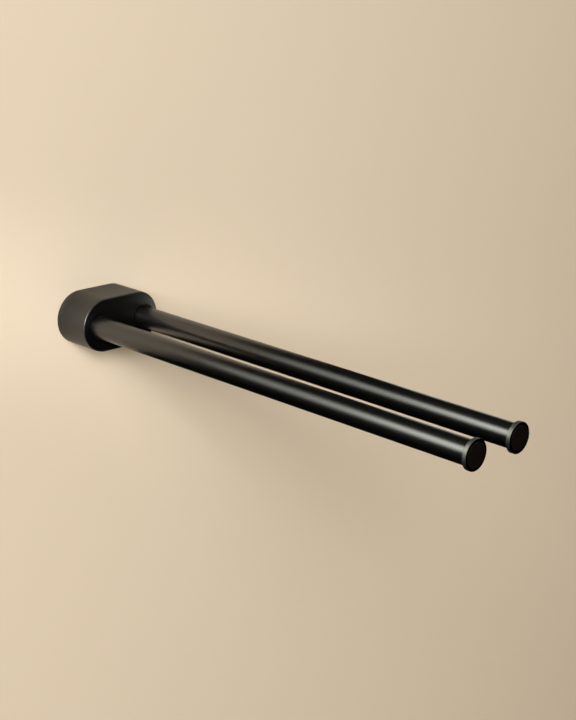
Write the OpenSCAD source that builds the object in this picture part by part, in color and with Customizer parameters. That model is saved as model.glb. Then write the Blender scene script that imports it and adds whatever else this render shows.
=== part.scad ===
// Double towel bar: two parallel round bars standing square to a wall on one obround housing.
// The wall is the plane y = 0, the bars reach towards -y, z is up, and x = 0 lies midway between the bars.

/* [Bars] */
// Outer diameter of each bar
bar_d = 19; // [16:0.5:22]
// Wall thickness of the bar tube
bar_wall = 1.5; // [1:0.1:2.5]
// Distance between the two bar axes
bar_pitch = 50; // [40:1:80]
// Distance from the wall to the face of the end caps
reach = 438; // [250:1:650]

/* [Housing] */
// Height of the obround housing, which is also the diameter of its round ends
housing_h = 47; // [42:1:60]
// Depth of the housing from the wall to its front face
housing_depth = 37; // [34:0.5:50]
// Metal left between a bar and the round end of the housing
end_margin = 6.2; // [5.8:0.1:12]
// Thickness of the housing's side wall
side_wall = 3.5; // [2.5:0.1:4]
// Thickness of the housing's front wall
front_wall = 6; // [4:0.5:8]
// Width of the chamfer along the front edge
edge_chamfer = 0.6; // [0.2:0.1:1.5]

/* [Root collars] */
// How far the collar's flange stands out past the bar
collar_lip = 1.8; // [1.4:0.1:2.5]
// Wall thickness of the collar's sleeve
collar_sleeve = 1; // [0.6:0.1:1.2]
// Thickness of the collar's flange
collar_t = 1.2; // [0.8:0.1:1.8]
// How deep the collar sits below the housing's front face
collar_set_back = 0.8; // [0.3:0.1:1.5]

/* [Carrier plate] */
// Thickness of the carrier plate
carrier_t = 6; // [4:0.5:8]
// Depth of the pocket that centres the end of a bar
pocket_depth = 2; // [1:0.5:3]

/* [Bar bolts] */
// Thread diameter of the bolt
bolt_d = 8; // [5:0.5:8]
// Length of the bolt under its head
bolt_length = 25; // [20:1:40]
// Diameter of the bolt head
bolt_head_d = 13; // [11:0.5:14]
// Height of the bolt head
bolt_head_h = 8; // [5:0.5:8]
// Width across the flats of the hexagon socket
socket_flats = 6; // [4:0.5:7]
// Depth of the hexagon socket
socket_depth = 4; // [2:0.5:4.5]
// Outer diameter of the plain washer
washer_d = 16; // [13:0.5:18]
// Thickness of the plain washer
washer_t = 1.6; // [1:0.1:2]
// Outer diameter of the split spring washer
spring_washer_d = 14.8; // [12:0.1:16]
// Thickness of the split spring washer
spring_washer_t = 2; // [1:0.1:2.5]

/* [Root plugs] */
// Threaded depth left past the tip of the bolt
tap_run_out = 1; // [0.5:0.5:4]
// Solid end of the plug past its threaded hole
plug_floor = 5; // [3:0.5:10]

/* [End caps] */
// How far the cap's flange stands out past the bar
cap_lip = 2.35; // [1:0.05:4]
// Thickness of the cap's flange
cap_t = 3.7; // [3:0.1:6]
// Length of the cap's spigot inside the bar
spigot_length = 16; // [12:0.5:30]
// Width of the cap's rim round the face disc
cap_rim = 2.35; // [1.5:0.05:4]
// Thickness of the face disc
disc_t = 1.5; // [1:0.1:2.5]
// How far the face disc stands proud of the rim
disc_proud = 0.3; // [0.1:0.1:0.8]
// Rounding of the cap's rim, made as a chamfer
rim_chamfer = 0.4; // [0.1:0.1:0.8]
// Thickness of the O-ring's section
ring_section = 1.6; // [1:0.1:2.2]
// Play of the O-ring along its groove
ring_play = 0.2; // [0.1:0.05:0.5]
// Distance from the cap's flange to the O-ring's centre
ring_place = 6; // [3:0.5:8]

/* [Wall plate] */
// Thickness of the wall plate's base
plate_t = 3; // [2:0.5:4]
// Height of the wall plate's raised rim, base included
plate_rim_h = 10; // [9:0.5:11]
// Thickness of the wall plate's raised rim
plate_rim_t = 3; // [2:0.1:4]
// Distance between the two wall screw holes
screw_spacing = 36; // [24:1:40]
// Diameter of the wall screw holes
screw_hole_d = 5.5; // [4:0.1:6.5]
// Thickness of the sealing pad behind the wall plate
gasket_t = 1.5; // [0.5:0.1:2]

/* [Set screws] */
// Thread diameter of the set screws
set_screw_d = 4; // [3:0.5:5]
// Distance between the two set screws
set_screw_spacing = 24; // [16:1:28]
// Depth of the groove that the set screws bite into
groove_depth = 0.6; // [0.2:0.1:1.2]
// How deep the set screws sit below the housing's surface
set_screw_recess = 0.2; // [0.1:0.1:0.6]
// Width across the flats of the set screw's socket
set_screw_flats = 2; // [1.5:0.1:2.5]
// Depth of the set screw's hexagon socket
set_screw_socket = 2; // [1:0.1:2.5]

/* [Fits] */
// Gap round a piece that is pressed, glued or screwed into another
tight_gap = 0.05; // [0.03:0.01:0.15]
// Gap between the wall plate and the inside of the housing
plate_gap = 0.4; // [0.2:0.05:0.8]
// Gap round a bolt that passes through a plate
bolt_gap = 0.25; // [0.1:0.05:0.5]

/* [Hidden] */
$fn = 96;
left = -1;
right = 1;
cut_over = 1;
// A hexagon's width over its corners, as a share of the width across its flats
hex_corners = 1 / cos(30);

// Bars and where they stand
bar_r = bar_d / 2;
bore_r = bar_r - bar_wall;
bar_x = bar_pitch / 2;
bar_end = reach - cap_t;

// Housing outline: two round ends joined by flat sides
outline_r = housing_h / 2;
outline_x = bar_x + bar_r + end_margin - outline_r;
cavity_r = outline_r - side_wall;
front_inside = housing_depth - front_wall;

// Collars in the front wall
collar_r = bar_r + collar_lip;
sleeve_r = bar_r + collar_sleeve;
collar_seat = housing_depth - collar_set_back - collar_t;

// Carrier plate and the stack of washers behind it
carrier_back = front_inside - carrier_t;
bar_seat = front_inside - pocket_depth;
spring_back = carrier_back - washer_t;
head_seat = spring_back - spring_washer_t;
bolt_r = bolt_d / 2;
bolt_tip = head_seat + bolt_length;
tap_end = bolt_tip + tap_run_out;

// End caps
cap_r = bar_r + cap_lip;
spigot_r = bore_r - tight_gap;
disc_r = cap_r - cap_rim;
rim_face = reach - disc_proud;
disc_seat = reach - disc_t;
ring_r = ring_section / 2;
ring_path_r = bore_r - tight_gap - ring_r;
ring_groove_r = ring_path_r - ring_r - tight_gap;
ring_groove_w = ring_section + ring_play;
ring_y = bar_end - ring_place;

// Wall plate, pad and set screws
plate_r = cavity_r - plate_gap;
plate_back = gasket_t;
plate_top = plate_back + plate_rim_h;
tray_floor = plate_back + plate_t;
set_screw_r = set_screw_d / 2;
set_screw_y = (tray_floor + plate_top) / 2;
set_screw_z = outline_r - set_screw_recess;
groove_z = plate_r - groove_depth;
groove_w = set_screw_d + 2 * bolt_gap;

painted_black = "#242321";
nylon_black = "#101010";
bare_steel = "#a9abad";
zinc_plate = "#b9bcc0";
plain_brass = "#c2a15a";
soft_rubber = "#2b2b2c";

// Round rod along -y from one depth to another
module rod(r, from, to) {
    translate([0, -from, 0])
        rotate([90, 0, 0])
            cylinder(r = r, h = to - from);
}

// Ring along -y
module tube(r_out, r_in, from, to) {
    difference() {
        rod(r_out, from, to);
        rod(r_in, from - cut_over, to + cut_over);
    }
}

// Hexagonal rod along -y, with its flats this far apart
module hex_rod(flats, from, to) {
    translate([0, -from, 0])
        rotate([90, 0, 0])
            cylinder(d = flats * hex_corners, h = to - from, $fn = 6);
}

// Obround block along -y: two round ends and the straight part between them
module obround(r, half_x, from, to) {
    union() {
        for (side = [left, right])
            translate([side * half_x, 0, 0])
                rod(r, from, to);
        translate([-half_x, -to, -r])
            cube([2 * half_x, to - from, 2 * r]);
    }
}

// Housing body with its front edge chamfered all round
module chamfered_obround(r, half_x, depth, chamfer) {
    round_end = [[0, 0], [r, 0], [r, depth - chamfer], [r - chamfer, depth], [0, depth]];
    straight_part = [
        [0, -r], [0, r], [chamfer - depth, r],
        [-depth, r - chamfer], [-depth, chamfer - r], [chamfer - depth, -r]
    ];
    union() {
        for (side = [left, right])
            translate([side * half_x, 0, 0])
                rotate([90, 0, 0])
                    rotate_extrude()
                        polygon(round_end);
        translate([-half_x, 0, 0])
            rotate([90, 0, 90])
                linear_extrude(height = 2 * half_x)
                    polygon(straight_part);
    }
}

module at_bar(side) {
    translate([side * bar_x, 0, 0])
        children();
}

module at_set_screw(side) {
    translate([side * set_screw_spacing / 2, -set_screw_y, 0])
        children();
}

module housing() {
    color(painted_black)
        difference() {
            chamfered_obround(outline_r, outline_x, housing_depth, edge_chamfer);
            obround(cavity_r, outline_x, -cut_over, front_inside);
            for (side = [left, right]) {
                at_bar(side) {
                    rod(sleeve_r + tight_gap, front_inside - cut_over, housing_depth + cut_over);
                    rod(collar_r + tight_gap, collar_seat, housing_depth + cut_over);
                }
                at_set_screw(side)
                    translate([0, 0, -outline_r - cut_over])
                        cylinder(r = set_screw_r + tight_gap, h = side_wall + 2 * cut_over);
            }
        }
}

module wall_plate() {
    color(zinc_plate)
        difference() {
            obround(plate_r, outline_x, plate_back, plate_top);
            obround(plate_r - plate_rim_t, outline_x, tray_floor, plate_top + cut_over);
            for (side = [left, right])
                translate([side * screw_spacing / 2, 0, 0])
                    rod(screw_hole_d / 2, plate_back - cut_over, tray_floor + cut_over);
            translate([-outline_x, -set_screw_y - groove_w / 2, -plate_r - cut_over])
                cube([2 * outline_x, groove_w, groove_depth + cut_over]);
        }
}

module wall_gasket() {
    color(soft_rubber)
        difference() {
            obround(plate_r, outline_x, 0, gasket_t);
            for (side = [left, right])
                translate([side * screw_spacing / 2, 0, 0])
                    rod(screw_hole_d / 2, -cut_over, gasket_t + cut_over);
        }
}

module carrier_plate() {
    color(bare_steel)
        difference() {
            obround(plate_r, outline_x, carrier_back, front_inside);
            for (side = [left, right])
                at_bar(side) {
                    rod(bar_r + tight_gap, bar_seat, front_inside + cut_over);
                    rod(bolt_r + bolt_gap, carrier_back - cut_over, front_inside);
                }
        }
}

module bar(side) {
    color(painted_black)
        at_bar(side)
            tube(bar_r, bore_r, bar_seat, bar_end);
}

module root_plug(side) {
    color(plain_brass)
        at_bar(side)
            difference() {
                rod(bore_r - tight_gap, bar_seat, tap_end + plug_floor);
                rod(bolt_r + tight_gap, bar_seat - cut_over, tap_end);
            }
}

module root_ring(side) {
    color(nylon_black)
        at_bar(side)
            difference() {
                union() {
                    rod(sleeve_r, front_inside, collar_seat + collar_t);
                    rod(collar_r, collar_seat, collar_seat + collar_t);
                }
                rod(bar_r + tight_gap, front_inside - cut_over, housing_depth);
            }
}

module bar_bolt(side) {
    head_top = head_seat - bolt_head_h;
    color(bare_steel)
        at_bar(side)
            difference() {
                union() {
                    rod(bolt_head_d / 2, head_top, head_seat);
                    rod(bolt_r, head_seat, bolt_tip);
                }
                hex_rod(socket_flats, head_top - cut_over, head_top + socket_depth);
            }
}

module plain_washer(side) {
    color(zinc_plate)
        at_bar(side)
            tube(washer_d / 2, bolt_r + bolt_gap, spring_back, carrier_back);
}

module spring_washer(side) {
    slit = spring_washer_t / 2;
    color(bare_steel)
        at_bar(side)
            difference() {
                tube(spring_washer_d / 2, bolt_r + bolt_gap, head_seat, spring_back);
                translate([-slit / 2, -spring_back - cut_over, 0])
                    cube([slit, spring_washer_t + 2 * cut_over, spring_washer_d]);
            }
}

module end_cap(side) {
    rim_outline = [
        [0, bar_end], [cap_r - rim_chamfer, bar_end], [cap_r, bar_end + rim_chamfer],
        [cap_r, rim_face - rim_chamfer], [cap_r - rim_chamfer, rim_face], [0, rim_face]
    ];
    color(painted_black)
        at_bar(side)
            difference() {
                union() {
                    rotate([90, 0, 0])
                        rotate_extrude()
                            polygon(rim_outline);
                    rod(spigot_r, bar_end - spigot_length, bar_end);
                }
                rod(disc_r + tight_gap, disc_seat, reach + cut_over);
                translate([0, -ring_y, 0])
                    tube(bore_r, ring_groove_r, -ring_groove_w / 2, ring_groove_w / 2);
            }
}

module cap_ring(side) {
    color(soft_rubber)
        at_bar(side)
            translate([0, -ring_y, 0])
                rotate([90, 0, 0])
                    rotate_extrude()
                        translate([ring_path_r, 0])
                            circle(r = ring_r);
}

module cap_disc(side) {
    disc_outline = [
        [0, disc_seat], [disc_r, disc_seat], [disc_r, rim_face], [disc_r - disc_proud, reach], [0, reach]
    ];
    color(painted_black)
        at_bar(side)
            rotate([90, 0, 0])
                rotate_extrude()
                    polygon(disc_outline);
}

module set_screw(side) {
    length = set_screw_z - groove_z;
    color(bare_steel)
        at_set_screw(side)
            translate([0, 0, -set_screw_z])
                difference() {
                    cylinder(r = set_screw_r, h = length);
                    translate([0, 0, -cut_over])
                        cylinder(d = set_screw_flats * hex_corners, h = set_screw_socket + cut_over, $fn = 6);
                }
}

housing();
wall_plate();
wall_gasket();
carrier_plate();
bar(left);  // left_bar
bar(right);  // right_bar
root_plug(left);  // left_root_plug
root_plug(right);  // right_root_plug
root_ring(left);  // left_root_ring
root_ring(right);  // right_root_ring
bar_bolt(left);  // left_bar_bolt
bar_bolt(right);  // right_bar_bolt
plain_washer(left);  // left_plain_washer
plain_washer(right);  // right_plain_washer
spring_washer(left);  // left_spring_washer
spring_washer(right);  // right_spring_washer
end_cap(left);  // left_end_cap
end_cap(right);  // right_end_cap
cap_ring(left);  // left_cap_ring
cap_ring(right);  // right_cap_ring
cap_disc(left);  // left_cap_disc
cap_disc(right);  // right_cap_disc
set_screw(left);  // left_set_screw
set_screw(right);  // right_set_screw
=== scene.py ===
import math

import bmesh
import bpy
from bpy.props import FloatProperty, FloatVectorProperty, IntProperty, PointerProperty
from mathutils import Matrix, Vector


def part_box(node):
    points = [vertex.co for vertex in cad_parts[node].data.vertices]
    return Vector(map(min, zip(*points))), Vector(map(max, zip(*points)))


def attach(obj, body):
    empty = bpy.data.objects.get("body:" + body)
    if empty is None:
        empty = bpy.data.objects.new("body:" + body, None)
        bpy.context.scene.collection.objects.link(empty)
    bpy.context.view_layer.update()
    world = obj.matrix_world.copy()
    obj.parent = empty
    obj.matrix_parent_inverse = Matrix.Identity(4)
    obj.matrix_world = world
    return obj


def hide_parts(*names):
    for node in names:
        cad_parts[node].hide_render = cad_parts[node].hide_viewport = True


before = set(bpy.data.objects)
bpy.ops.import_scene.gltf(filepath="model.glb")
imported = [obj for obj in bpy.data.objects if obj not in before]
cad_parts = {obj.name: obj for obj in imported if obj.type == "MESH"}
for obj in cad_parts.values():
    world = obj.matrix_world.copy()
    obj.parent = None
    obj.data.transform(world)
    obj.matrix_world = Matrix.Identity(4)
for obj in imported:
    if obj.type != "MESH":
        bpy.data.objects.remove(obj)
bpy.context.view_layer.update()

bl_info = {
    "name": "Double towel bar",
    "version": (1, 0, 0),
    "blender": (4, 5, 0),
    "location": "3D View > Sidebar > Towel Bar",
    "description": "Builds and finishes two fixed towel bars on one obround housing",
    "category": "Object",
}

MM = 0.001
SIDES = ("left", "right")
BODY = "root"


def linear(hex_code):
    """Turns an sRGB hex colour into Blender's linear RGBA."""
    foot_end, foot_slope, offset, power = 0.04045, 12.92, 0.055, 2.4
    colour = []
    for i in (1, 3, 5):
        channel = int(hex_code[i:i + 2], 16) / 255
        if channel <= foot_end:
            colour.append(channel / foot_slope)
        else:
            colour.append(((channel + offset) / (1 + offset)) ** power)
    return (*colour, 1.0)


# Places and sizes that the frame gives

def middle(node):
    low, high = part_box(node)
    return (low + high) / 2


def radius(node):
    """Radius of a round node that lies along Y."""
    low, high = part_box(node)
    return (high.x - low.x) / 2


def depths(node):
    """A node's nearest and furthest distance from the wall."""
    low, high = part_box(node)
    return -high.y, -low.y


BAR_X = {side: middle(side + "_bar").x for side in SIDES}
BAR_R = radius("left_bar")
BAR_DEPTHS = depths("left_bar")
HOUSING_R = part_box("housing")[1].z
HOUSING_HALF_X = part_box("housing")[1].x - HOUSING_R
HOUSING_DEPTH = depths("housing")[1]
CAVITY_DEPTH = depths("carrier_plate")[1]
COLLAR_R = radius("left_root_ring")
COLLAR_DEPTHS = depths("left_root_ring")
CAP_R = radius("left_end_cap")
CAP_DEPTHS = depths("left_end_cap")
SEAL_R = radius("left_cap_ring")
SEAL_DEPTHS = depths("left_cap_ring")
DISC_R = radius("left_cap_disc")
DISC_DEPTHS = depths("left_cap_disc")
PLUG_R = radius("left_root_plug")
SET_SCREW_R = radius("left_set_screw")


# Properties

class TowelBarSizes(bpy.types.PropertyGroup):
    """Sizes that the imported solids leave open"""
    front_round: FloatProperty(
        name="Front edge",
        description="Radius along the housing's front edge",
        default=1.4 * MM, min=0.1 * MM, max=2 * MM, precision=5, unit="LENGTH")
    small_round: FloatProperty(
        name="Small edges",
        description="Radius of the broken edges at holes, rims and the housing's back",
        default=0.25 * MM, min=0.05 * MM, max=0.5 * MM, precision=5, unit="LENGTH")
    side_wall: FloatProperty(
        name="Side wall",
        description="Thickness of the housing's side wall",
        default=3.5 * MM, min=2 * MM, max=5 * MM, precision=5, unit="LENGTH")
    fit_gap: FloatProperty(
        name="Fit gap",
        description="Gap round a piece that sits in a hole",
        default=0.05 * MM, min=0.02 * MM, max=0.2 * MM, precision=5, unit="LENGTH")
    collar_flange: FloatProperty(
        name="Collar flange",
        description="Thickness of the collar's flange",
        default=1.2 * MM, min=0.5 * MM, max=2 * MM, precision=5, unit="LENGTH")
    collar_sleeve: FloatProperty(
        name="Collar sleeve",
        description="Wall thickness of the collar's sleeve",
        default=1 * MM, min=0.5 * MM, max=1.5 * MM, precision=5, unit="LENGTH")
    cap_flange: FloatProperty(
        name="Cap flange",
        description="Thickness of the end cap's flange, its rim without the proud disc",
        default=3.4 * MM, min=2 * MM, max=6 * MM, precision=5, unit="LENGTH")
    round_steps: IntProperty(
        name="Round steps",
        description="Flats round each full circle",
        default=144, min=48, max=256)


class TowelBarFinish(bpy.types.PropertyGroup):
    """Colours and gloss of the finishes"""
    coat_colour: FloatVectorProperty(
        name="Powder coat",
        description="Black powder coat on the housing",
        default=linear("#050504"), size=4, min=0, max=1, subtype="COLOR")
    bar_colour: FloatVectorProperty(
        name="Bar coat",
        description="Black coat on the bars",
        default=linear("#040404"), size=4, min=0, max=1, subtype="COLOR")
    cap_colour: FloatVectorProperty(
        name="Black nickel",
        description="Black nickel on the end caps",
        default=linear("#7f7e7c"), size=4, min=0, max=1, subtype="COLOR")
    coat_roughness: FloatProperty(
        name="Powder coat roughness",
        description="Mean roughness of the housing",
        default=0.36, min=0, max=1, subtype="FACTOR")
    bar_roughness: FloatProperty(
        name="Bar roughness",
        description="Mean roughness of the bars",
        default=0.3, min=0, max=1, subtype="FACTOR")
    cap_roughness: FloatProperty(
        name="Cap roughness",
        description="Mean roughness of the end caps' rims",
        default=0.51, min=0, max=1, subtype="FACTOR")


class TowelBarStage(bpy.types.PropertyGroup):
    """Wall, floor and lamps"""
    wall_colour: FloatVectorProperty(
        name="Wall",
        description="Colour of the painted wall panel",
        default=linear("#ead9c0"), size=4, min=0, max=1, subtype="COLOR")
    floor_colour: FloatVectorProperty(
        name="Floor",
        description="Colour of the pale floor",
        default=linear("#eae1d2"), size=4, min=0, max=1, subtype="COLOR")
    studio_colour: FloatVectorProperty(
        name="Studio",
        description="Colour of the studio round the stage",
        default=linear("#eee4d4"), size=4, min=0, max=1, subtype="COLOR")
    studio_strength: FloatProperty(
        name="Studio strength",
        description="How much light the studio gives, as a share of how bright it looks",
        default=0.14, min=0, max=2)
    glint_colour: FloatVectorProperty(
        name="Glint",
        description="Colour of the soft boxes that draw the glints",
        default=linear("#fcfff2"), size=4, min=0, max=1, subtype="COLOR")
    key_power: FloatProperty(
        name="Key lamp",
        description="Power of the lamp at the upper left that gives the shadow its edge",
        default=46, min=0, max=500, unit="POWER")
    soft_power: FloatProperty(
        name="Soft lamp",
        description="Power of the large soft lamp behind the key lamp",
        default=90, min=0, max=500, unit="POWER")
    strip_power: FloatProperty(
        name="Strip lamp",
        description="Power of the soft box whose glint runs along the bars",
        default=0.86, min=0, max=100, unit="POWER")
    inner_power: FloatProperty(
        name="Inner strip lamp",
        description="Power of the weaker soft box that carries the glint towards the wall",
        default=0.075, min=0, max=100, unit="POWER")
    side_power: FloatProperty(
        name="Side strip lamp",
        description="Power of the soft box whose glint shows in a view from the right",
        default=0.035, min=0, max=100, unit="POWER")
    face_power: FloatProperty(
        name="Face lamp",
        description="Power of the small weak soft box that shows in the housing's front face",
        default=0.0004, min=0, max=10, unit="POWER")
    edge_power: FloatProperty(
        name="Edge lamp",
        description="Power of the small lamp that draws the glint on the housing's front edge",
        default=0.078, min=0, max=10, unit="POWER")
    back_power: FloatProperty(
        name="Back lamp",
        description="Power of the lamp that lights the mounting face from behind",
        default=6, min=0, max=100, unit="POWER")


# Outlines and meshes

def rectangle(left, low, right, high):
    """Corners of a rectangle, in order round it."""
    return (left, low), (right, low), (right, high), (left, high)


def circle(centre, circle_radius, steps):
    """Points of a circle in the plane of the centre's first two coordinates."""
    x, y = centre[:2]
    angles = [2 * math.pi * i / steps for i in range(steps)]
    return [(x + circle_radius * math.cos(a), y + circle_radius * math.sin(a)) for a in angles]


def rounded(corners, arc_steps=6):
    """Points of a closed outline of (x, y, radius) corners, with an arc where the radius isn't 0."""
    points = []
    for i, (x, y, corner_radius) in enumerate(corners):
        here = Vector((x, y))
        if not corner_radius:
            points.append(here)
            continue
        before = (Vector(corners[i - 1][:2]) - here).normalized()
        after = (Vector(corners[(i + 1) % len(corners)][:2]) - here).normalized()
        half = before.angle(after) / 2
        centre = here + (before + after).normalized() * corner_radius / math.sin(half)
        start = here + before * corner_radius / math.tan(half) - centre
        end = here + after * corner_radius / math.tan(half) - centre
        for step in range(arc_steps + 1):
            way = start.lerp(end, step / arc_steps).normalized()
            points.append(centre + way * corner_radius)
    return points


def circle_loop(mesh, bar_x, loop_radius, depth, steps):
    """A ring of vertices round a bar's axis."""
    return [mesh.verts.new((x, -depth, z)) for x, z in circle((bar_x, 0), loop_radius, steps)]


def obround_loop(mesh, loop_radius, depth, steps):
    """A ring of vertices round the housing.

    It takes the right end, the top and the left end. The flat bottom closes it.
    """
    loop = []
    for side, first in ((1, -math.pi / 2), (-1, math.pi / 2)):
        for i in range(steps // 2 + 1):
            a = first + 2 * math.pi * i / steps
            x = side * HOUSING_HALF_X + loop_radius * math.cos(a)
            loop.append(mesh.verts.new((x, -depth, loop_radius * math.sin(a))))
    return loop


def bridge(mesh, first, second, open_last=False):
    """Joins two rings of vertices with quads. With open_last the closing stretch stays open."""
    count = len(first)
    for i in range(count - 1 if open_last else count):
        j = (i + 1) % count
        mesh.faces.new((first[i], first[j], second[j], second[i]))


def fill(mesh, *loops):
    """Fills the flat area between rings of vertices."""
    edges = []
    for loop in loops:
        for i, vert in enumerate(loop):
            pair = (vert, loop[(i + 1) % len(loop)])
            edges.append(mesh.edges.get(pair) or mesh.edges.new(pair))
    bmesh.ops.triangle_fill(mesh, edges=edges, use_beauty=True)


def revolve(mesh, bar_x, outline, steps):
    """Turns a closed outline of (radius, depth) points round a bar's axis.

    A point on the axis makes no ring. The ring next to it closes as a flat end.
    """
    loops = [circle_loop(mesh, bar_x, p.x, p.y, steps) if p.x > 0 else None for p in outline]
    for first, second in zip(loops, loops[1:] + loops[:1]):
        if first and second:
            bridge(mesh, first, second)
        elif first or second:
            mesh.faces.new(first or second)


def finish_piece(mesh, name, material, nodes, front=None):
    """Makes the object, with smooth rounds and crisp corners, and puts it in its nodes' place.

    With front, the faces that look away from the wall get that material instead.
    """
    crisp_angle, away_from_wall = math.radians(40), -0.9
    bmesh.ops.recalc_face_normals(mesh, faces=mesh.faces)
    data = bpy.data.meshes.new(name)
    mesh.to_mesh(data)
    mesh.free()
    data.shade_smooth()
    data.set_sharp_from_angle(angle=crisp_angle)
    data.materials.append(material)
    if front:
        data.materials.append(front)
        for face in data.polygons:
            face.material_index = int(face.normal.y < away_from_wall)
    piece = bpy.data.objects.new(name, data)
    bpy.context.scene.collection.objects.link(piece)
    weights = piece.modifiers.new("flat faces stay flat", "WEIGHTED_NORMAL")
    weights.keep_sharp = True
    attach(piece, BODY)
    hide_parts(*nodes)


# Materials

# The Mix node has several sockets of each name, so its colour sockets go by number
MIX_A, MIX_B, MIX_RESULT = 6, 7, 2


def add_node(tree, kind, settings=None, links=()):
    """Adds a node, with its sockets or properties set by name or number.

    Links are (socket, source node, output) triples.
    """
    node = tree.nodes.new(kind)
    for name, value in (settings or {}).items():
        if isinstance(name, int) or name in node.inputs:
            node.inputs[name].default_value = value
        else:
            setattr(node, name, value)
    for socket, source, output in links:
        tree.links.new(source.outputs[output], node.inputs[socket])
    return node


def empty_tree(owner):
    """The node tree of a material or world, emptied."""
    owner.use_nodes = True
    owner.node_tree.nodes.clear()
    return owner.node_tree


def new_material(name):
    """A material, its tree, its Principled shader and a node with the object's coordinates."""
    material = bpy.data.materials.new(name)
    tree = empty_tree(material)
    shader = add_node(tree, "ShaderNodeBsdfPrincipled")
    add_node(tree, "ShaderNodeOutputMaterial", links=[("Surface", shader, "BSDF")])
    place = add_node(tree, "ShaderNodeTexCoord")
    return material, tree, shader, place


def black_material(name):
    """A material that sends back no light, its tree and its shader."""
    material = bpy.data.materials.new(name)
    tree = empty_tree(material)
    black = add_node(tree, "ShaderNodeEmission", {"Strength": 0.0})
    add_node(tree, "ShaderNodeOutputMaterial", links=[("Surface", black, "Emission")])
    return material, tree, black


def plain_view(tree):
    """A node that is 1 where a ray shows how a surface looks and 0 where it lights.

    A ray shows it straight, mirrored or through glass.
    """
    path = add_node(tree, "ShaderNodeLightPath")
    either = add_node(tree, "ShaderNodeMath", {"operation": "MAXIMUM"},
                      [(0, path, "Is Camera Ray"), (1, path, "Is Glossy Ray")])
    return add_node(tree, "ShaderNodeMath", {"operation": "MAXIMUM"},
                    [(0, either, "Value"), (1, path, "Is Transmission Ray")])


def set_surface(tree, shader, socket):
    """Puts a shader on the material's output."""
    tree.links.new(shader.outputs[socket], tree.get_output_node("ALL").inputs["Surface"])


def grained(name, colour, darker, roughness, swing, pitch, relief, metallic=0, ior=None, peel=None):
    """A finish with a fine grain in its tone, gloss and relief.

    Darker is the share of the colour that the grain's dark spots keep, and swing is how far the
    roughness goes up and down. Pitch is the real size of the grain, relief its depth as drawn, and
    peel the size of a sprayed coat's broad waves.
    """
    # The real grain, of 0.2 mm at most, is too fine to show, so it is drawn coarser
    times_coarser = 10
    # The noise seldom leaves this range
    noise_low, noise_high = 0.3, 0.7
    # How high the grain stands against the broad waves
    grain_share = 0.35

    material, tree, shader, place = new_material(name)
    shader.inputs["Metallic"].default_value = metallic
    if ior:
        shader.inputs["IOR"].default_value = ior
    grain = add_node(tree, "ShaderNodeTexNoise", {"Scale": 1 / (pitch * times_coarser), "Detail": 3.0},
                     [("Vector", place, "Object")])
    dark = (*(c * darker for c in colour[:3]), 1.0)
    tone = add_node(tree, "ShaderNodeMix", {"data_type": "RGBA", MIX_A: dark, MIX_B: colour},
                    [("Factor", grain, "Fac")])
    tree.links.new(tone.outputs[MIX_RESULT], shader.inputs["Base Color"])
    gloss = add_node(tree, "ShaderNodeMapRange", {
        "From Min": noise_low, "From Max": noise_high,
        "To Min": roughness - swing, "To Max": roughness + swing,
    }, [("Value", grain, "Fac")])
    tree.links.new(gloss.outputs["Result"], shader.inputs["Roughness"])
    height, output = grain, "Fac"
    if peel:
        waves = add_node(tree, "ShaderNodeTexNoise", {"Scale": 1 / peel, "Detail": 2.0},
                         [("Vector", place, "Object")])
        height = add_node(tree, "ShaderNodeMath", {"operation": "MULTIPLY_ADD", 1: grain_share},
                          [(0, grain, "Fac"), (2, waves, "Fac")])
        output = "Value"
    bump = add_node(tree, "ShaderNodeBump", {"Strength": 0.35, "Distance": relief},
                    [("Height", height, output)])
    tree.links.new(bump.outputs["Normal"], shader.inputs["Normal"])
    return material


def dress(material, *nodes):
    """Gives CAD nodes their finish."""
    for node in nodes:
        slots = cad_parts[node].data.materials
        slots.clear()
        slots.append(material)


# Operators

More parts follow.
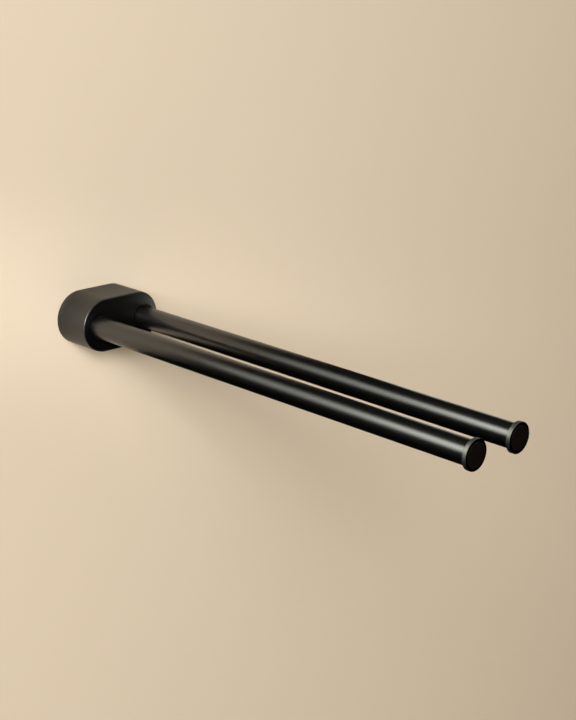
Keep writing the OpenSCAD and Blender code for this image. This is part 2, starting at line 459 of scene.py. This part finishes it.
class TOWELBAR_OT_stage(bpy.types.Operator):
    """Camera, wall panel, floor, world and lamps"""
    bl_idname = "towelbar.stage"
    bl_label = "Stage"
    floor_z = -2.0

    def execute(self, context):
        stage = context.scene.towelbar_stage
        self.camera(context)
        self.world(context, stage)
        self.wall(context, stage)
        self.floor(context, stage)
        self.black_cards(context)

        # The open lamps light the wall and the object
        for name, place, target, size, power in (
            ("key lamp", (-2.07, -2.43, 1.43), (0.2, 0, 0), 0.6, stage.key_power),
            ("soft lamp", (-2.17, -2.55, 1.50), (0.2, 0, 0), 1.7, stage.soft_power),
            ("back lamp", (-0.3, 0.9, 0.5), (0, 0, 0), 0.6, stage.back_power),
        ):
            self.lamp(context, name, place, target, size, power)
        # In reflections these two would lighten the housing's black front face
        for name in ("key lamp", "soft lamp"):
            context.scene.objects[name].visible_glossy = False

        # The soft boxes draw the glints. Their narrow spread leaves the wall alone
        glint_spread, edge_spread = 60, 22
        for name, place, target, size, power in (
            ("strip lamp", (-0.46, -0.03, 0.32), (0.05, -0.45, -0.05), 0.55, stage.strip_power),
            ("inner strip lamp", (-0.20, -0.03, 0.15), (0.05, -0.30, -0.05), 0.34, stage.inner_power),
            ("side strip lamp", (0.50, -0.05, 0.05), (0.1, -0.50, 0), 0.25, stage.side_power),
            ("face lamp", (0.073, -0.064, -0.003), (0.035, -0.037, 0.015), 0.02, stage.face_power),
        ):
            self.lamp(context, name, place, target, size, power, glint_spread, stage.glint_colour[:3])
        self.lamp(context, "edge lamp", place=(-0.45, -0.09, 0.17), target=(-0.04, -0.045, 0.01),
                  size=0.12, power=stage.edge_power, spread=edge_spread)
        return {"FINISHED"}

    def camera(self, context):
        """The photograph's view, with a long lens a little over a metre away"""
        place = (-0.81197, -1.00248, 0.36805)
        heading, tilt, roll = math.radians(46.641), math.radians(17.611), math.radians(1.885)
        upright = math.radians(90)
        data = bpy.data.cameras.new("camera")
        data.lens = 75.685
        data.clip_start, data.clip_end = 0.05, 200
        camera = bpy.data.objects.new("camera", data)
        turn = (Matrix.Rotation(-heading, 4, "Z") @ Matrix.Rotation(upright - tilt, 4, "X")
                @ Matrix.Rotation(roll, 4, "Z"))
        camera.matrix_world = Matrix.Translation(place) @ turn
        context.scene.collection.objects.link(camera)
        context.scene.camera = camera
        context.scene.view_settings.view_transform = "Standard"

    def world(self, context, stage):
        """A pale studio that gives little light of its own"""
        world = bpy.data.worlds.new("studio")
        tree = empty_tree(world)
        light = add_node(tree, "ShaderNodeBackground",
                         {"Color": stage.studio_colour, "Strength": stage.studio_strength})
        look = add_node(tree, "ShaderNodeBackground", {"Color": stage.studio_colour, "Strength": 1.0})
        both = add_node(tree, "ShaderNodeMixShader", links=[
            (0, plain_view(tree), "Value"), (1, light, "Background"), (2, look, "Background")])
        add_node(tree, "ShaderNodeOutputWorld", links=[("Surface", both, "Shader")])
        context.scene.world = world

    def sheet(self, context, name, material, *outlines):
        """A flat sheet. The first outline is its edge, and a second one is a hole in it"""
        mesh = bmesh.new()
        loops = [[mesh.verts.new(corner) for corner in outline] for outline in outlines]
        if len(loops) == 1:
            mesh.faces.new(loops[0])
        else:
            fill(mesh, *loops)
        data = bpy.data.meshes.new(name)
        mesh.to_mesh(data)
        mesh.free()
        data.materials.append(material)
        sheet = bpy.data.objects.new(name, data)
        context.scene.collection.objects.link(sheet)
        return sheet

    def wall(self, context, stage):
        """A painted panel just behind the mounting face, clear when it is seen from behind"""
        left, right, top, y = -0.95, 1.7, 0.9, 0.8 * MM
        roller_pitch, roller_relief = 6 * MM, 0.15 * MM
        # A shadow ray that meets the panel this soon passes it, so the back lamp lights the
        # mounting face
        close_by = 6 * MM

        # Matt emulsion paint on plaster: warm cream with a faint roller texture
        material, tree, shader, place = new_material("painted_plaster")
        grain = add_node(tree, "ShaderNodeTexNoise", {"Scale": 1 / roller_pitch, "Detail": 4.0},
                         [("Vector", place, "Object")])
        bump = add_node(tree, "ShaderNodeBump", {"Strength": 0.25, "Distance": roller_relief},
                        [("Height", grain, "Fac")])
        tree.links.new(bump.outputs["Normal"], shader.inputs["Normal"])
        shader.inputs["Base Color"].default_value = stage.wall_colour
        shader.inputs["Roughness"].default_value = 0.85
        shader.inputs["Specular IOR Level"].default_value = 0.2
        side = add_node(tree, "ShaderNodeNewGeometry")
        path = add_node(tree, "ShaderNodeLightPath")
        near = add_node(tree, "ShaderNodeMath", {"operation": "LESS_THAN", 1: close_by},
                        [(0, path, "Ray Length")])
        near_shadow = add_node(tree, "ShaderNodeMath", {"operation": "MULTIPLY"},
                               [(0, near, "Value"), (1, path, "Is Shadow Ray")])
        clear = add_node(tree, "ShaderNodeMath", {"operation": "MAXIMUM"},
                         [(0, near_shadow, "Value"), (1, side, "Backfacing")])
        glass = add_node(tree, "ShaderNodeBsdfTransparent")
        both = add_node(tree, "ShaderNodeMixShader", links=[
            (0, clear, "Value"), (1, shader, "BSDF"), (2, glass, "BSDF")])
        set_surface(tree, both, "Shader")
        self.sheet(context, "wall", material, [
            (x, y, z) for x, z in rectangle(left, self.floor_z, right, top)])

    def floor(self, context, stage):
        """A wide pale floor that looks as bright as the studio behind it, yet takes a shadow"""
        # The share of its look that is its own colour, whatever light falls on it
        own_look = 0.85
        reach = 60
        # Smooth screed, sealed matt: pale and even out to the horizon
        material, tree, shader, _ = new_material("pale_screed")
        shader.inputs["Base Color"].default_value = stage.floor_colour
        shader.inputs["Roughness"].default_value = 0.7
        look = add_node(tree, "ShaderNodeEmission", {"Color": stage.floor_colour})
        share = add_node(tree, "ShaderNodeMath", {"operation": "MULTIPLY", 1: own_look},
                         [(0, plain_view(tree), "Value")])
        shade = add_node(tree, "ShaderNodeMixShader", links=[
            (0, share, "Value"), (1, shader, "BSDF"), (2, look, "Emission")])
        set_surface(tree, shade, "Shader")
        self.sheet(context, "floor", material, [
            (x, y, self.floor_z) for x, y in rectangle(-reach, -reach, reach, reach)])

    def black_cards(self, context):
        """Black cards that only reflections see, as studios use them to keep black metal black

        The wall card is open round the mount and some way to its right, so that the housing and the
        first part of the bars show the lit wall. In that opening the foot card is painted shade: it
        darkens what the housing's sides show of the wall close by, most at the housing. The front card
        is open towards the camera and the lamps.
        """
        black, _, _ = black_material("black_card")
        wall_card_y, foot_card_y = -2 * MM, -1 * MM
        left, right, front, foot, low, top = -2.2, 1.6, -1.0, -1.0, -0.7, 0.9
        open_right, open_low = -0.3, 0.2
        wall_card = rectangle(-1.3, -1.3, 1.3, 1.3)
        wall_opening = rounded([
            (-0.18, -0.09, 0.12), (0.04, -0.09, 0.05), (0.04, -0.017, 0.01),
            (0.32, -0.138, 0.03), (0.32, 0.17, 0.18), (-0.18, 0.17, 0.12)], arc_steps=12)
        front_card = (
            (left, self.floor_z), (right, self.floor_z), (right, top),
            (open_right, top), (open_right, open_low), (left, open_low))
        foot_card = rectangle(-0.15, -0.1, 0.15, 0.1)
        cards = [
            self.sheet(context, "wall card", black, *[
                [(x, wall_card_y, z) for x, z in outline] for outline in (wall_card, wall_opening)]),
            self.sheet(context, "front card", black, [(x, front, z) for x, z in front_card]),
            self.sheet(context, "right card", black, [
                (right, y, z) for y, z in rectangle(front, foot, 0, top)]),
            self.sheet(context, "low card", black, [
                (x, y, low) for x, y in rectangle(left, front, right, 0)]),
            # Painted shade: the foot card darkens what the housing's sides mirror of the wall close by
            self.sheet(context, "foot card", self.painted_shade_card(), [
                (x, foot_card_y, z) for x, z in foot_card]),
        ]
        for card in cards:
            for rays in ("camera", "diffuse", "transmission", "volume_scatter", "shadow"):
                setattr(card, "visible_" + rays, False)

    def painted_shade_card(self):
        """The foot card's material: painted shade, half black at the housing's outline and clear
        further out
        """
        densest, reach = 0.5, 45 * MM
        material, tree, black = black_material("painted_shade_card")
        place = add_node(tree, "ShaderNodeTexCoord")
        parts = add_node(tree, "ShaderNodeSeparateXYZ", links=[("Vector", place, "Object")])
        across = add_node(tree, "ShaderNodeMath", {"operation": "ABSOLUTE"}, [(0, parts, "X")])
        past = add_node(tree, "ShaderNodeMath", {"operation": "SUBTRACT", 1: HOUSING_HALF_X},
                        [(0, across, "Value")])
        end = add_node(tree, "ShaderNodeMath", {"operation": "MAXIMUM", 1: 0.0}, [(0, past, "Value")])
        spine = add_node(tree, "ShaderNodeCombineXYZ", links=[("X", end, "Value"), ("Z", parts, "Z")])
        distance = add_node(tree, "ShaderNodeVectorMath", {"operation": "LENGTH"},
                            [(0, spine, "Vector")])
        fade = add_node(tree, "ShaderNodeMapRange", {
            "From Min": HOUSING_R, "From Max": HOUSING_R + reach, "To Min": densest, "To Max": 0.0,
        }, [("Value", distance, "Value")])
        clear = add_node(tree, "ShaderNodeBsdfTransparent")
        both = add_node(tree, "ShaderNodeMixShader", links=[
            (0, fade, "Result"), (1, clear, "BSDF"), (2, black, "Emission")])
        set_surface(tree, both, "Shader")
        return material

    def lamp(self, context, name, place, target, size, power, spread=180, colour=(1, 1, 1)):
        """A square area lamp, with its spread in degrees"""
        data = bpy.data.lights.new(name, "AREA")
        data.shape = "SQUARE"
        data.size = size
        data.energy = power
        data.spread = math.radians(spread)
        data.color = colour
        lamp = bpy.data.objects.new(name, data)
        turn = (Vector(target) - Vector(place)).to_track_quat("-Z", "Y")
        lamp.matrix_world = Matrix.Translation(place) @ turn.to_matrix().to_4x4()
        lamp.visible_camera = False
        context.scene.collection.objects.link(lamp)


class TOWELBAR_OT_housing(bpy.types.Operator):
    """Cast obround housing with its bores, cavity and set screw holes"""
    bl_idname = "towelbar.housing"
    bl_label = "Housing"

    def execute(self, context):
        sizes, colours = context.scene.towelbar_sizes, context.scene.towelbar_finish
        cavity_r = HOUSING_R - sizes.side_wall
        mesh = bmesh.new()
        cavity_floor, front, flats = self.skin(mesh, sizes, cavity_r)
        self.screw_holes(mesh, sizes, cavity_r, flats)
        mouths, inner_ends = self.bores(mesh, sizes)
        fill(mesh, front, *mouths)
        fill(mesh, cavity_floor, *inner_ends)

        # Black polyester powder on a zinc casting: a near-black satin skin with a faint orange peel
        coat = grained("powder_coated_zinc", colours.coat_colour, darker=0.5,
                       roughness=colours.coat_roughness, swing=0.06, pitch=0.035 * MM,
                       relief=0.04 * MM, ior=1.75, peel=1.6 * MM)
        finish_piece(mesh, "housing_shell", coat, ["housing"])
        return {"FINISHED"}

    def skin(self, mesh, sizes, cavity_r):
        """The side wall, from the cavity's floor over the back edge to the front

        Gives its first and last ring, and the corners of the two flats underneath, which stay open:
        the inner one, then the outer one.
        """
        small = sizes.small_round
        outline = rounded([
            (cavity_r, CAVITY_DEPTH, 0), (cavity_r, 0, small), (HOUSING_R, 0, small),
            (HOUSING_R, HOUSING_DEPTH, sizes.front_round), (cavity_r, HOUSING_DEPTH, 0),
        ])
        # The last corner only gives the front edge its direction
        loops = [obround_loop(mesh, p.x, p.y, sizes.round_steps) for p in outline[:-1]]
        flats = []
        for first, second in zip(loops, loops[1:]):
            long_wall = abs(first[0].co.y - second[0].co.y) > HOUSING_DEPTH / 2
            bridge(mesh, first, second, open_last=long_wall)
            if long_wall:
                flats.append([first[-1], first[0], second[0], second[-1]])
        return loops[0], loops[-1], flats

    def screw_holes(self, mesh, sizes, cavity_r, flats):
        """The set screws' holes, and the flats round them"""
        hole_steps = 32
        holes = []
        for side in SIDES:
            outline = circle(middle(side + "_set_screw"), SET_SCREW_R + sizes.fit_gap, hole_steps)
            rims = [[mesh.verts.new((x, y, z)) for x, y in outline] for z in (-cavity_r, -HOUSING_R)]
            bridge(mesh, *rims)
            holes.append(rims)
        for flat, rims in zip(flats, zip(*holes)):
            fill(mesh, flat, *rims)

    def bores(self, mesh, sizes):
        """The stepped bores for the bars and collars, with their rings at the front and the cavity"""
        small, gap = sizes.small_round, sizes.fit_gap
        mouth_r, sleeve_r = COLLAR_R + gap, BAR_R + sizes.collar_sleeve + gap
        collar_seat = COLLAR_DEPTHS[1] - sizes.collar_flange
        beyond = COLLAR_R + 2 * small
        outline = rounded([
            (mouth_r, HOUSING_DEPTH, small), (mouth_r, collar_seat, 0), (sleeve_r, collar_seat, 0),
            (sleeve_r, CAVITY_DEPTH, 0), (beyond, CAVITY_DEPTH, 0), (beyond, HOUSING_DEPTH, 0),
        ])
        mouths, inner_ends = [], []
        for side in SIDES:
            # The last two corners only give the mouth's edge its direction
            rings = [circle_loop(mesh, BAR_X[side], p.x, p.y, sizes.round_steps) for p in outline[:-2]]
            for first, second in zip(rings, rings[1:]):
                bridge(mesh, first, second)
            mouths.append(rings[0])
            inner_ends.append(rings[-1])
        return mouths, inner_ends


class TOWELBAR_OT_bars(bpy.types.Operator):
    """Two round bar tubes"""
    bl_idname = "towelbar.bars"
    bl_label = "Bars"

    def execute(self, context):
        sizes, colours = context.scene.towelbar_sizes, context.scene.towelbar_finish
        inside = PLUG_R + sizes.fit_gap
        near, far = BAR_DEPTHS
        outline = rounded([
            (inside, near, 0), (inside, far, 0), (BAR_R, far, sizes.small_round / 2), (BAR_R, near, 0),
        ])
        # Thin satin black coat on drawn brass tube: smoother than powder, so that it carries one
        # long soft glint
        coat = grained("satin_coated_tube", colours.bar_colour, darker=0.5,
                       roughness=colours.bar_roughness, swing=0.04, pitch=0.03 * MM,
                       relief=0.02 * MM, ior=1.8, peel=2.5 * MM)
        for side in SIDES:
            mesh = bmesh.new()
            revolve(mesh, BAR_X[side], outline, sizes.round_steps)
            finish_piece(mesh, side + "_bar_tube", coat, [side + "_bar"])
        return {"FINISHED"}


class TOWELBAR_OT_root_rings(bpy.types.Operator):
    """Black collars that centre the bars in the housing's front"""
    bl_idname = "towelbar.root_rings"
    bl_label = "Root collars"

    def execute(self, context):
        sizes = context.scene.towelbar_sizes
        near, far = COLLAR_DEPTHS
        seat = far - sizes.collar_flange
        inside, sleeve = BAR_R + sizes.fit_gap, BAR_R + sizes.collar_sleeve
        outline = rounded([
            (inside, near, 0), (inside, far, sizes.small_round), (COLLAR_R, far, sizes.small_round),
            (COLLAR_R, seat, 0), (sleeve, seat, 0), (sleeve, near, 0),
        ])
        # Moulded nylon: dead black and softly rough, so that the joint round each bar reads as a
        # dark line
        nylon = grained("moulded_nylon", linear("#060606"), darker=0.8, roughness=0.6, swing=0.08,
                        pitch=0.05 * MM, relief=0.01 * MM)
        for side in SIDES:
            mesh = bmesh.new()
            revolve(mesh, BAR_X[side], outline, sizes.round_steps)
            finish_piece(mesh, side + "_collar", nylon, [side + "_root_ring"])
        return {"FINISHED"}


class TOWELBAR_OT_end_caps(bpy.types.Operator):
    """Flanged end caps with their spigots"""
    bl_idname = "towelbar.end_caps"
    bl_label = "End caps"

    def execute(self, context):
        sizes, colours = context.scene.towelbar_sizes, context.scene.towelbar_finish
        small, gap = sizes.small_round, sizes.fit_gap
        rim_round, recess_round = 1.5 * small, small / 2
        tip, face = CAP_DEPTHS
        shoulder = face - sizes.cap_flange
        seal_near, seal_far = SEAL_DEPTHS
        groove_near, groove_far = seal_near - 2 * gap, seal_far + 2 * gap
        groove_r = SEAL_R - (seal_far - seal_near) - gap
        recess, recess_floor = DISC_R + gap, DISC_DEPTHS[0]
        outline = rounded([
            (0, tip, 0), (PLUG_R, tip, small), (PLUG_R, groove_near, 0), (groove_r, groove_near, 0),
            (groove_r, groove_far, 0), (PLUG_R, groove_far, 0), (PLUG_R, shoulder, 0),
            (CAP_R, shoulder, small), (CAP_R, face, rim_round), (recess, face, recess_round),
            (recess, recess_floor, 0), (0, recess_floor, 0),
        ])
        # Black nickel on a brass cap whose rim is blasted: a grey band that spreads the glint
        nickel = grained("blasted_black_nickel", colours.cap_colour, darker=0.75,
                         roughness=colours.cap_roughness, swing=0.06, pitch=0.04 * MM,
                         relief=0.03 * MM, metallic=1)
        # The same plating on the lapped front, which mirrors the black cards as a black ring
        lapped = grained("lapped_black_nickel", colours.cap_colour, darker=0.9, roughness=0.16,
                         swing=0.02, pitch=0.04 * MM, relief=0.001 * MM, metallic=1)
        for side in SIDES:
            mesh = bmesh.new()
            revolve(mesh, BAR_X[side], outline, sizes.round_steps)
            finish_piece(mesh, side + "_cap_body", nickel, [side + "_end_cap"],
                         front=lapped)
        return {"FINISHED"}


class TOWELBAR_OT_cap_discs(bpy.types.Operator):
    """Face discs that sit a little proud in the end caps"""
    bl_idname = "towelbar.cap_discs"
    bl_label = "Cap discs"

    def execute(self, context):
        sizes = context.scene.towelbar_sizes
        near, far = DISC_DEPTHS
        outline = rounded([
            (0, near, 0), (DISC_R, near, 0), (DISC_R, far, sizes.small_round), (0, far, 0)])
        # Moulded black ABS: softly glossy and black, with a faint brown cast
        plastic = grained("moulded_abs_disc", linear("#140e0c"), darker=0.7, roughness=0.3, swing=0.03,
                          pitch=0.05 * MM, relief=0.004 * MM)
        for side in SIDES:
            mesh = bmesh.new()
            revolve(mesh, BAR_X[side], outline, sizes.round_steps)
            finish_piece(mesh, side + "_face_disc", plastic, [side + "_cap_disc"])
        return {"FINISHED"}


class TOWELBAR_OT_fixings(bpy.types.Operator):
    """Finishes of the wall plate, pad, carrier, plugs, bolts, washers, O-rings and set screws"""
    bl_idname = "towelbar.fixings"
    bl_label = "Fixings"

    def execute(self, context):
        # Machined steel: mid grey with a fine, even grain
        steel = grained("machined_steel", linear("#9b9c9e"), darker=0.8, roughness=0.35, swing=0.08,
                        pitch=0.04 * MM, relief=0.01 * MM, metallic=1)
        # Bright zinc on pressed steel: pale bluish grey with soft cloudy patches
        zinc = grained("zinc_plated_steel", linear("#b4b8bd"), darker=0.8, roughness=0.4, swing=0.08,
                       pitch=0.2 * MM, relief=0.01 * MM, metallic=1)
        # Turned brass: warm yellow, still bare
        brass = grained("turned_brass", linear("#c9a45c"), darker=0.8, roughness=0.3, swing=0.08,
                        pitch=0.03 * MM, relief=0.01 * MM, metallic=1)
        # Moulded sealing rubber: dark grey and matt
        rubber = grained("moulded_rubber", linear("#262626"), darker=0.8, roughness=0.75, swing=0.08,
                         pitch=0.06 * MM, relief=0.01 * MM)
        dress(zinc, "wall_plate")
        dress(rubber, "wall_gasket")
        dress(steel, "carrier_plate")
        for side in SIDES:
            dress(brass, side + "_root_plug")
            dress(steel, side + "_bar_bolt", side + "_spring_washer", side + "_set_screw")
            dress(zinc, side + "_plain_washer")
            dress(rubber, side + "_cap_ring")
        return {"FINISHED"}


class TOWELBAR_PT_panel(bpy.types.Panel):
    """Lists the sizes, finishes and build steps"""
    bl_idname = "TOWELBAR_PT_panel"
    bl_label = "Double towel bar"
    bl_space_type = "VIEW_3D"
    bl_region_type = "UI"
    bl_category = "Towel Bar"

    def draw(self, context):
        for name in GROUPS:
            group = getattr(context.scene, name)
            box = self.layout.box()
            for entry in group.__annotations__:
                box.prop(group, entry)
        for operator in OPERATORS:
            self.layout.operator(operator.bl_idname)


OPERATORS = (
    TOWELBAR_OT_stage, TOWELBAR_OT_housing, TOWELBAR_OT_bars, TOWELBAR_OT_root_rings,
    TOWELBAR_OT_end_caps, TOWELBAR_OT_cap_discs, TOWELBAR_OT_fixings,
)
GROUPS = {
    "towelbar_sizes": TowelBarSizes,
    "towelbar_finish": TowelBarFinish,
    "towelbar_stage": TowelBarStage,
}


def register():
    for group in GROUPS.values():
        bpy.utils.register_class(group)
    for operator in OPERATORS:
        bpy.utils.register_class(operator)
    bpy.utils.register_class(TOWELBAR_PT_panel)
    for name, group in GROUPS.items():
        setattr(bpy.types.Scene, name, PointerProperty(type=group))


def unregister():
    for name in GROUPS:
        delattr(bpy.types.Scene, name)
    bpy.utils.unregister_class(TOWELBAR_PT_panel)
    for operator in reversed(OPERATORS):
        bpy.utils.unregister_class(operator)
    for group in reversed(GROUPS.values()):
        bpy.utils.unregister_class(group)


def main():
    register()
    for operator in OPERATORS:
        family, name = operator.bl_idname.split(".")
        getattr(getattr(bpy.ops, family), name)()


if __name__ == "__main__":
    main()
